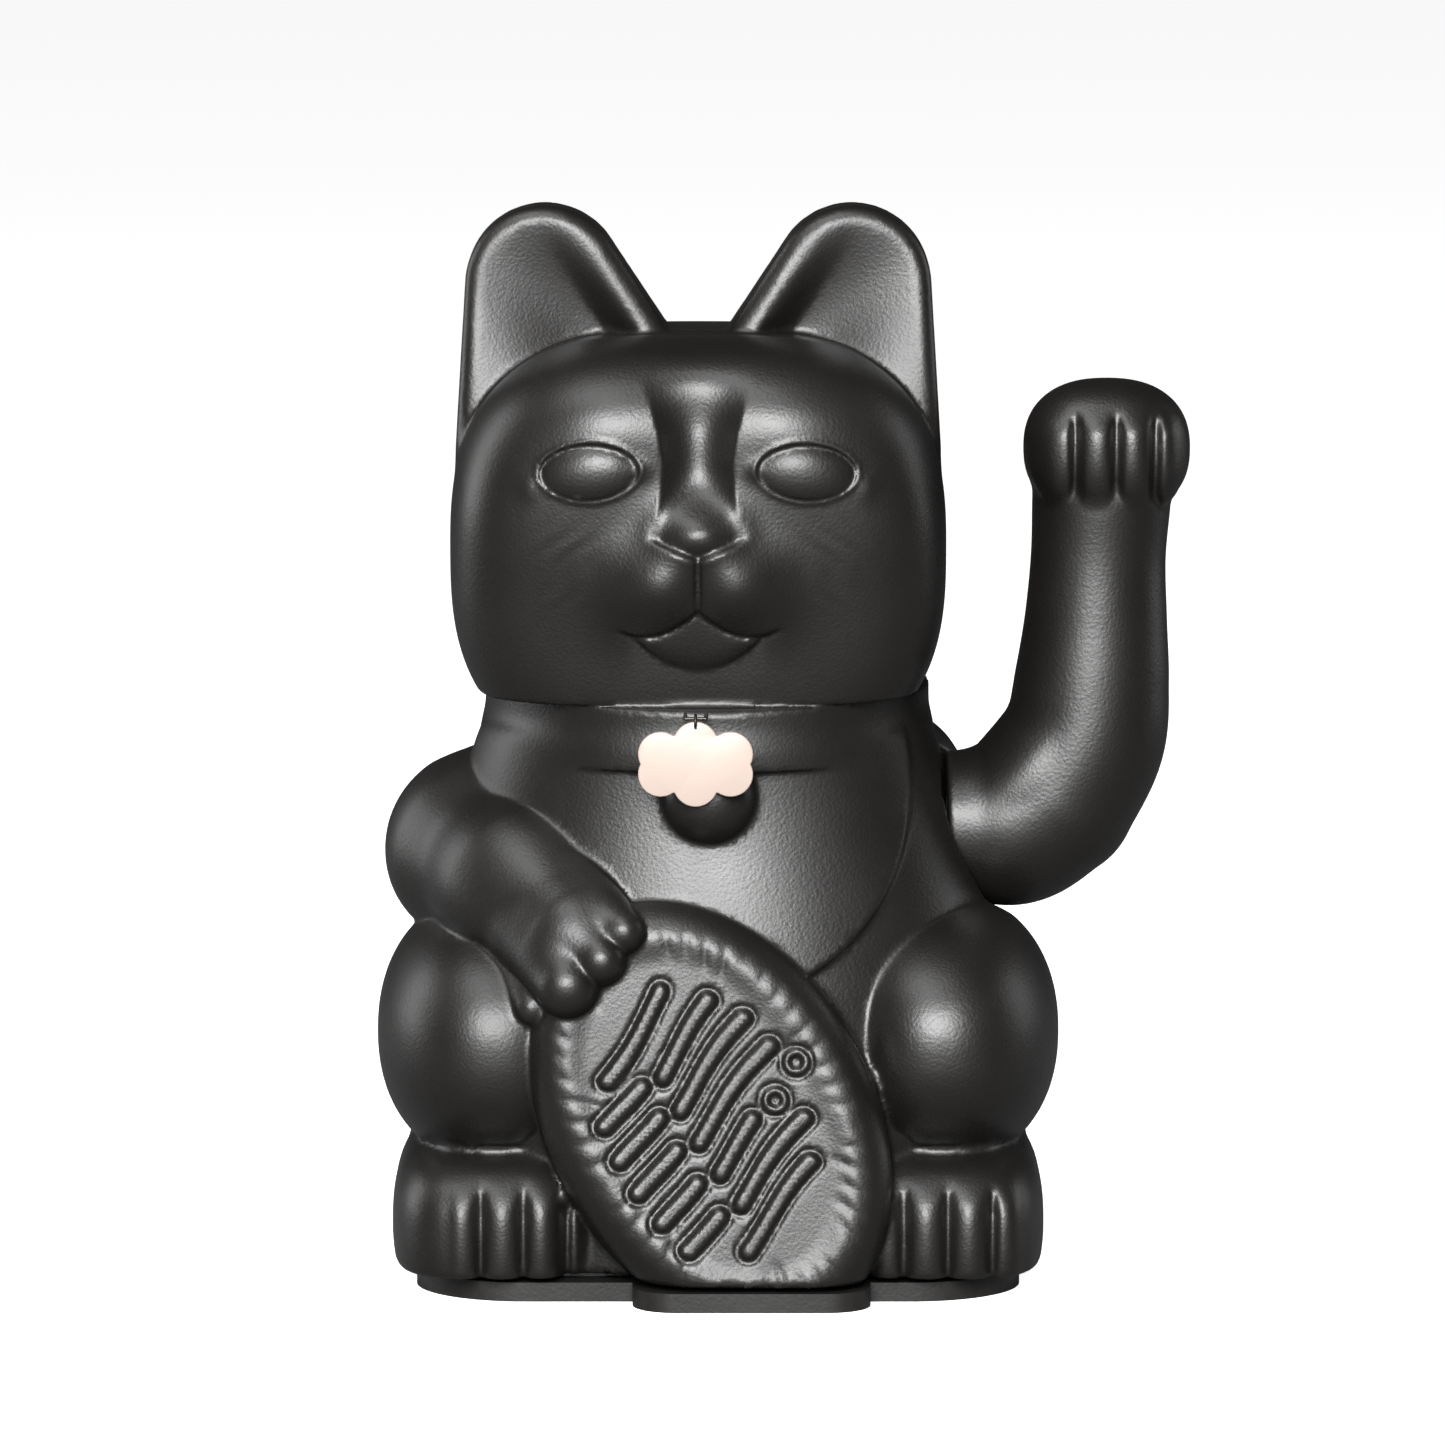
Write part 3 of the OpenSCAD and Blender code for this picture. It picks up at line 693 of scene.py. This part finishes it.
arm_lumps = [
    ((38, 0, AXLE_HEIGHT), (8.5, 10, 10)), ((42, 0, AXLE_HEIGHT + 1), (11, 11, 11)),
    ((46, 0, 64), (11, 11, 11)),
    ((50, 0, 72), (11, 10.6, 12)), ((51.2, 0, 80), (10.4, 10.3, 12)), ((52, 0, 92), (9.4, 9.4, 12)),
    ((52.5, 0, 102), (9, 9, 9)), ((53.2, 0, 112), (11, 9.5, 9)), ((53.2, -6, 112), (9, 5, 6)),
]


def near_toes(m):
    return np.where((m[:, 2] > 103) & (m[:, 1] < -2), 0.55, 1.5)


arm_nets = ((1.5, 1.0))
arm_bm = sculpt("clay_arm", arm_lumps, arm_form, arm_nets, [(near_toes, 12, 0.6), (near_toes, 14, 0.4)])
arm_front_bm = keep_side(arm_bm, (0, -SEAM_GAP, 0), (0, -1, 0))
arm_rear_bm = keep_side(arm_bm, (0, SEAM_GAP, 0), (0, 1, 0))
arm_bm.free()
arm_front = add_piece("raised_arm_front", arm_front_bm, ARM_WALL)
arm_rear = add_piece("raised_arm_rear", arm_rear_bm, ARM_WALL)

# %% [markdown]
# ## The collar tag
#
# The tag is a flat enamelled plate with a scalloped edge. It starts as a disc whose rim is pushed out
# into six lobes, is extruded, and gets a small bevel that catches the light.

# %% Model the tag
TAG_AT = (tag_low + tag_high) / 2
TAG_T = tag_high[1] - tag_low[1]


def scallop(angle):
    """Radius of the tag's edge: the furthest of six round lobes."""
    far = 0.0
    for lobe in range(6):
        turn = math.radians(60 * lobe + 30)
        cx, cz, r = 5.4 * math.cos(turn), 2.7 * math.sin(turn), 3.0
        along = cx * math.cos(angle) + cz * math.sin(angle)
        off = abs(-cx * math.sin(angle) + cz * math.cos(angle))
        if off < r and along > 0:
            far = max(far, along + math.sqrt(r * r - off * off))
    return far


def tag_mesh():
    bm = bmesh.new()
    bmesh.ops.create_circle(bm, cap_ends=True, segments=180, radius=1.0)
    for vert in bm.verts:
        angle = math.atan2(vert.co.y, vert.co.x)
        r = scallop(angle)
        vert.co = (r * math.cos(angle), 0.0, r * math.sin(angle))
    grown = bmesh.ops.extrude_face_region(bm, geom=list(bm.faces))
    top = [g for g in grown["geom"] if isinstance(g, bmesh.types.BMVert)]
    bmesh.ops.translate(bm, vec=(0, TAG_T, 0), verts=top)
    bmesh.ops.recalc_face_normals(bm, faces=bm.faces)
    rim = [e for e in bm.edges if len(e.link_faces) == 2 and e.calc_face_angle() > math.radians(60)]
    bmesh.ops.bevel(bm, geom=rim, offset=0.18, segments=3, profile=0.5, affect="EDGES", material=-1,
                    clamp_overlap=True)
    bmesh.ops.translate(bm, vec=(TAG_AT[0], tag_low[1], TAG_AT[2]), verts=bm.verts)
    print("tag faces", len(bm.faces))
    return bm


tag = add_piece("scalloped_tag", tag_mesh())

# %% [markdown]
# ## Materials
#
# All the mouldings share one effect: the fine leathery grain that a spark-eroded mould leaves on
# plastic, with slow changes of gloss over it. It is a node group with named inputs, so that each
# material can set how coarse and how deep it is.

# %% Shared node groups


def new_group(name, inputs, outputs):
    group = bpy.data.node_groups.new(name, "ShaderNodeTree")
    for label, kind, value in inputs:
        socket = group.interface.new_socket(name=label, in_out="INPUT", socket_type=kind)
        socket.default_value = value
    for label, kind in outputs:
        group.interface.new_socket(name=label, in_out="OUTPUT", socket_type=kind)
    enter = group.nodes.new("NodeGroupInput")
    leave = group.nodes.new("NodeGroupOutput")
    return group, enter, leave


def noise(tree, scale_from, detail, coords, roughness=0.5):
    node = tree.nodes.new("ShaderNodeTexNoise")
    node.inputs["Detail"].default_value = detail
    node.inputs["Roughness"].default_value = roughness
    tree.links.new(coords, node.inputs["Vector"])
    if isinstance(scale_from, (int, float)):
        node.inputs["Scale"].default_value = scale_from
    else:
        tree.links.new(scale_from, node.inputs["Scale"])
    return node.outputs["Fac"]


def calculate(tree, operation, a, b):
    node = tree.nodes.new("ShaderNodeMath")
    node.operation = operation
    for socket, value in zip(node.inputs, (a, b)):
        if isinstance(value, (int, float)):
            socket.default_value = value
        else:
            tree.links.new(value, socket)
    return node.outputs[0]


def grain_group():
    group, enter, leave = new_group(
        "leather_grain",
        [("Scale", "NodeSocketFloat", 2600.0), ("Gloss low", "NodeSocketFloat", 0.4),
         ("Gloss high", "NodeSocketFloat", 0.5)],
        [("Height", "NodeSocketFloat"), ("Roughness", "NodeSocketFloat"), ("Tone", "NodeSocketFloat")])
    place = group.nodes.new("ShaderNodeTexCoord").outputs["Object"]
    cells = group.nodes.new("ShaderNodeTexVoronoi")
    cells.feature = "SMOOTH_F1"
    cells.inputs["Smoothness"].default_value = 0.6
    group.links.new(place, cells.inputs["Vector"])
    group.links.new(enter.outputs["Scale"], cells.inputs["Scale"])
    fine = noise(group, enter.outputs["Scale"], 3.0, place)
    height = calculate(group, "ADD", calculate(group, "MULTIPLY", cells.outputs["Distance"], -0.6), fine)
    slow = noise(group, 45.0, 4.0, place, 0.6)
    span = group.nodes.new("ShaderNodeMapRange")
    span.inputs["From Min"].default_value = 0.3
    span.inputs["From Max"].default_value = 0.7
    group.links.new(slow, span.inputs["Value"])
    group.links.new(enter.outputs["Gloss low"], span.inputs["To Min"])
    group.links.new(enter.outputs["Gloss high"], span.inputs["To Max"])
    group.links.new(height, leave.inputs["Height"])
    group.links.new(span.outputs[0], leave.inputs["Roughness"])
    group.links.new(slow, leave.inputs["Tone"])
    return group


def wear_group():
    """Mask that is 1 on rubbed outer edges, broken up by noise."""
    group, enter, leave = new_group("edge_wear", [("Width", "NodeSocketFloat", 0.5)],
                                    [("Mask", "NodeSocketFloat")])
    place = group.nodes.new("ShaderNodeTexCoord").outputs["Object"]
    point = group.nodes.new("ShaderNodeNewGeometry").outputs["Pointiness"]
    sharp = calculate(group, "MULTIPLY", calculate(group, "SUBTRACT", point, 0.52), 9.0)
    broken = calculate(group, "MULTIPLY", noise(group, 700.0, 5.0, place), enter.outputs["Width"])
    mask = calculate(group, "MULTIPLY", sharp, broken)
    clamp = group.nodes.new("ShaderNodeClamp")
    group.links.new(mask, clamp.inputs["Value"])
    group.links.new(clamp.outputs[0], leave.inputs["Mask"])
    return group


GRAIN = grain_group()
WEAR = wear_group()


def place_group(tree, group, **values):
    node = tree.nodes.new("ShaderNodeGroup")
    node.node_tree = group
    for label, value in values.items():
        node.inputs[label.replace("_", " ")].default_value = value
    return node


def two_tone(tree, factor, low, high):
    mix = tree.nodes.new("ShaderNodeMix")
    mix.data_type = "RGBA"
    mix.inputs["A"].default_value = (*low, 1)
    mix.inputs["B"].default_value = (*high, 1)
    tree.links.new(factor, mix.inputs["Factor"])
    return mix.outputs["Result"]


def finish_material(name, low, high, grain, gloss, bump, metallic=0.0, coat=0.0, worn=None):
    """A moulded or metal finish: two close tones, grain in the gloss and the bump, and rubbed edges."""
    material = bpy.data.materials.new(name)
    material.use_nodes = True
    tree = material.node_tree
    shader = tree.nodes["Principled BSDF"]
    shader.inputs["Metallic"].default_value = metallic
    shader.inputs["Coat Weight"].default_value = coat
    texture = place_group(tree, GRAIN, Scale=grain, Gloss_low=gloss[0], Gloss_high=gloss[1])
    color = two_tone(tree, texture.outputs["Tone"], low, high)
    if worn is not None:
        wear = place_group(tree, WEAR, Width=1.0)
        blend = tree.nodes.new("ShaderNodeMix")
        blend.data_type = "RGBA"
        blend.inputs["B"].default_value = (*worn, 1)
        tree.links.new(wear.outputs["Mask"], blend.inputs["Factor"])
        tree.links.new(color, blend.inputs["A"])
        color = blend.outputs["Result"]
    tree.links.new(color, shader.inputs["Base Color"])
    tree.links.new(texture.outputs["Roughness"], shader.inputs["Roughness"])
    ridge = tree.nodes.new("ShaderNodeBump")
    ridge.inputs["Strength"].default_value = bump
    ridge.inputs["Distance"].default_value = 0.0001
    tree.links.new(texture.outputs["Height"], ridge.inputs["Height"])
    tree.links.new(ridge.outputs["Normal"], shader.inputs["Normal"])
    return material


# %% [markdown]
# Black plastic is never quite black: it reflects a few percent, is a little warm, and looks paler where
# fingers have rubbed it. Inside the cat the finishes are plainer but still real: natural white nylon,
# turned steel, lacquered copper wire, and a green board.

# %% Make and assign the materials
cat_black = finish_material("satin_black_plastic", (0.0036, 0.003, 0.0026), (0.005, 0.0042, 0.0037), 2200.0,
                            (0.37, 0.45), 0.3, worn=(0.022, 0.019, 0.016))
base_black = finish_material("base_black_plastic", (0.004, 0.0037, 0.0034), (0.0065, 0.006, 0.0056), 1900.0,
                             (0.38, 0.48), 0.2, worn=(0.015, 0.014, 0.013))
finishes = {
    "cat_plastic": cat_black,
    "base_plastic": base_black,
    "works_plastic": finish_material("natural_nylon", (0.62, 0.6, 0.53), (0.7, 0.68, 0.61), 1500.0,
                                     (0.4, 0.55), 0.15),
    "steel": finish_material("turned_steel", (0.42, 0.42, 0.43), (0.55, 0.55, 0.56), 3200.0,
                             (0.24, 0.4), 0.12, 1.0),
    "ferrite": finish_material("ground_ferrite", (0.05, 0.05, 0.052), (0.08, 0.08, 0.083), 2400.0,
                               (0.45, 0.6), 0.3, 0.6),
    "bronze": finish_material("sintered_bronze", (0.45, 0.27, 0.1), (0.56, 0.35, 0.14), 2800.0,
                              (0.3, 0.5), 0.3, 1.0),
    "copper_wire": finish_material("lacquered_copper", (0.5, 0.15, 0.05), (0.62, 0.22, 0.08), 1800.0,
                                   (0.2, 0.34), 0.5,
                                   1.0, 0.4),
    "board_green": finish_material("board_lacquer", (0.01, 0.12, 0.04), (0.02, 0.17, 0.06), 1400.0,
                                   (0.25, 0.35), 0.1),
    "chip_black": finish_material("chip_moulding", (0.012, 0.012, 0.012), (0.02, 0.02, 0.02), 2000.0,
                                  (0.5, 0.65), 0.3),
    "can_blue": finish_material("capacitor_sleeve", (0.01, 0.02, 0.14), (0.015, 0.03, 0.2), 900.0,
                                (0.25, 0.35), 0.05),
    "cell_case": finish_material("cell_sleeve", (0.32, 0.12, 0.04), (0.42, 0.17, 0.06), 1000.0,
                                 (0.25, 0.35), 0.05, 0.7),
    "spring_steel": finish_material("nickel_plate", (0.6, 0.58, 0.54), (0.7, 0.68, 0.64), 2200.0,
                                    (0.16, 0.28), 0.1, 1.0),
    "lead_insulation": finish_material("soft_insulation", (0.16, 0.012, 0.012), (0.24, 0.02, 0.02), 900.0,
                                       (0.45, 0.6),
                                       0.1),
    "charm_cream": finish_material("cream_enamel", (0.33, 0.263, 0.227), (0.355, 0.288, 0.25), 600.0,
                                   (0.3, 0.4), 0.06,
                                   coat=0.2),
    "charm_metal": finish_material("blackened_wire", (0.03, 0.028, 0.026), (0.05, 0.047, 0.043), 2600.0,
                                   (0.3, 0.45),
                                   0.2, 1.0),
}
for part in frame["record"]["subparts"]:
    node = bpy.data.objects[part["node"]]
    node.data.materials.clear()
    node.data.materials.append(finishes[part["material_slot"]])

new_pieces = (
    (cat_front, "front_shell", "cat", "cat_plastic"),
    (cat_rear, "rear_shell", "cat", "cat_plastic"),
    (arm_front, "arm_front", "arm", "cat_plastic"),
    (arm_rear, "arm_rear", "arm", "cat_plastic"),
    (tag, "charm_tag", "charm", "charm_cream"),
)
for piece, node, body, slot in new_pieces:
    piece.data.materials.append(finishes[slot])
    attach(piece, body)
    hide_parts(node)
print("materials:", len(finishes))

# %% [markdown]
# ## The studio
#
# A white floor and surround, one large soft box in front, a weak one overhead, and a narrow one behind
# each shoulder that draws the edges. Floor and surround look white to the camera but throw little light
# back, so that the black skin keeps its depth. The camera has a long lens and looks a few degrees down.

# %% Floor, lights and camera


FLOOR_WHITE = 0.9
LIGHT_AIM = (0, 0, 0.07)


def seen_or_bounced(tree, bounced, seen):
    """A value that is one thing for the camera and another for light that bounces."""
    path = tree.nodes.new("ShaderNodeLightPath")
    switch = tree.nodes.new("ShaderNodeMapRange")
    switch.inputs["To Min"].default_value = bounced
    switch.inputs["To Max"].default_value = seen
    tree.links.new(path.outputs["Is Camera Ray"], switch.inputs["Value"])
    return switch.outputs[0]


def add_floor():
    bm = bmesh.new()
    bmesh.ops.create_grid(bm, x_segments=1, y_segments=1, size=12)
    mesh = bpy.data.meshes.new("floor")
    bm.to_mesh(mesh)
    bm.free()
    floor = bpy.data.objects.new("floor", mesh)
    bpy.context.scene.collection.objects.link(floor)
    paper = bpy.data.materials.new("white_paper")
    paper.use_nodes = True
    tree = paper.node_tree
    shader = tree.nodes["Principled BSDF"]
    shader.inputs["Roughness"].default_value = 0.9
    shader.inputs["Emission Color"].default_value = (1, 1, 1, 1)
    tree.links.new(seen_or_bounced(tree, 0.12, FLOOR_WHITE), shader.inputs["Base Color"])
    tree.links.new(seen_or_bounced(tree, 0.0, FLOOR_WHITE), shader.inputs["Emission Strength"])
    mesh.materials.append(paper)


def add_softbox(name, at, aim, size, power):
    light = bpy.data.lights.new(name, "AREA")
    light.shape = "RECTANGLE"
    light.size, light.size_y = size
    light.energy = power
    box = bpy.data.objects.new(name, light)
    bpy.context.scene.collection.objects.link(box)
    box.location = at
    box.rotation_euler = (Vector(aim) - Vector(at)).to_track_quat("-Z", "Y").to_euler()


def add_camera(elevation, distance, frame_width, aim):
    lens = bpy.data.cameras.new("camera")
    camera = bpy.data.objects.new("camera", lens)
    bpy.context.scene.collection.objects.link(camera)
    angle = math.radians(elevation)
    camera.location = Vector(aim) + distance * Vector((0, -math.cos(angle), math.sin(angle)))
    camera.rotation_euler = (math.radians(90) - angle, 0, 0)
    lens.sensor_width = 36
    lens.lens = 36 * distance / frame_width
    bpy.context.scene.camera = camera


add_floor()
add_softbox("front_box", (-0.07, -1.02, 0.50), LIGHT_AIM, (0.62, 0.5), 34)
add_softbox("overhead", (-0.25, -0.35, 1.0), LIGHT_AIM, (0.7, 0.5), 6)
add_softbox("left_rim", (-0.92, 0.36, 0.32), LIGHT_AIM, (0.5, 0.7), 4)
add_softbox("right_rim", (0.92, 0.36, 0.32), LIGHT_AIM, (0.4, 0.6), 1.5)
world = bpy.data.worlds.new("surround")
world.use_nodes = True
sky = world.node_tree.nodes["Background"]
sky.inputs["Color"].default_value = (1, 1, 1, 1)
world.node_tree.links.new(seen_or_bounced(world.node_tree, 0.02, 1.0), sky.inputs["Strength"])
bpy.context.scene.world = world
bpy.context.scene.view_settings.view_transform = "Standard"
add_camera(7, 1.3, 0.1985, (0.0006, 0, 0.0742))
